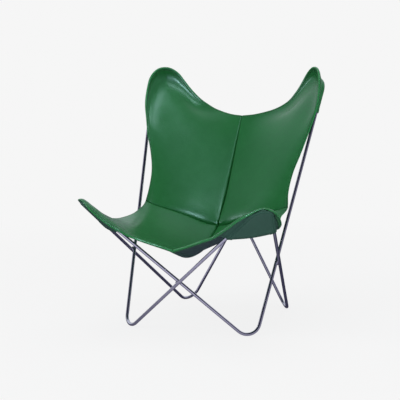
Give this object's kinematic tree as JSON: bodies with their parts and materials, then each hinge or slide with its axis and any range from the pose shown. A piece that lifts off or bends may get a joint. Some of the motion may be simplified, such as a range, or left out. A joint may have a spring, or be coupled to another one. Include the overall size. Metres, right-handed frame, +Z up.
{
  "type": "butterfly sling chair",
  "caption": "Butterfly lounge chair: green leather sling sewn from panels, its corner pockets slipped over a welded frame of bent chromed steel rod",
  "frame": {"origin": "centre of the bounding box on the floor", "axes": "+Z up, the sitter faces -Y, +X is to the right as seen from the front"},
  "size_m": [0.6828, 0.7862, 0.8789],
  "materials": {
    "rod": "polished",
    "weld": "satin",
    "leather": "semi-gloss, smooth"
  },
  "bodies": {
    "root": {"loop_left_ear": "rod", "loop_right_ear": "rod", "weld_front": "weld", "weld_back": "weld", "weld_left": "weld", "weld_right": "weld", "back_panel_left": "leather", "back_panel_right": "leather", "seat_panel_left": "leather", "seat_panel_right": "leather", "ear_pocket_left": "leather", "ear_pocket_right": "leather", "wing_pocket_left": "leather", "wing_pocket_right": "leather"}
  },
  "joints": []
}
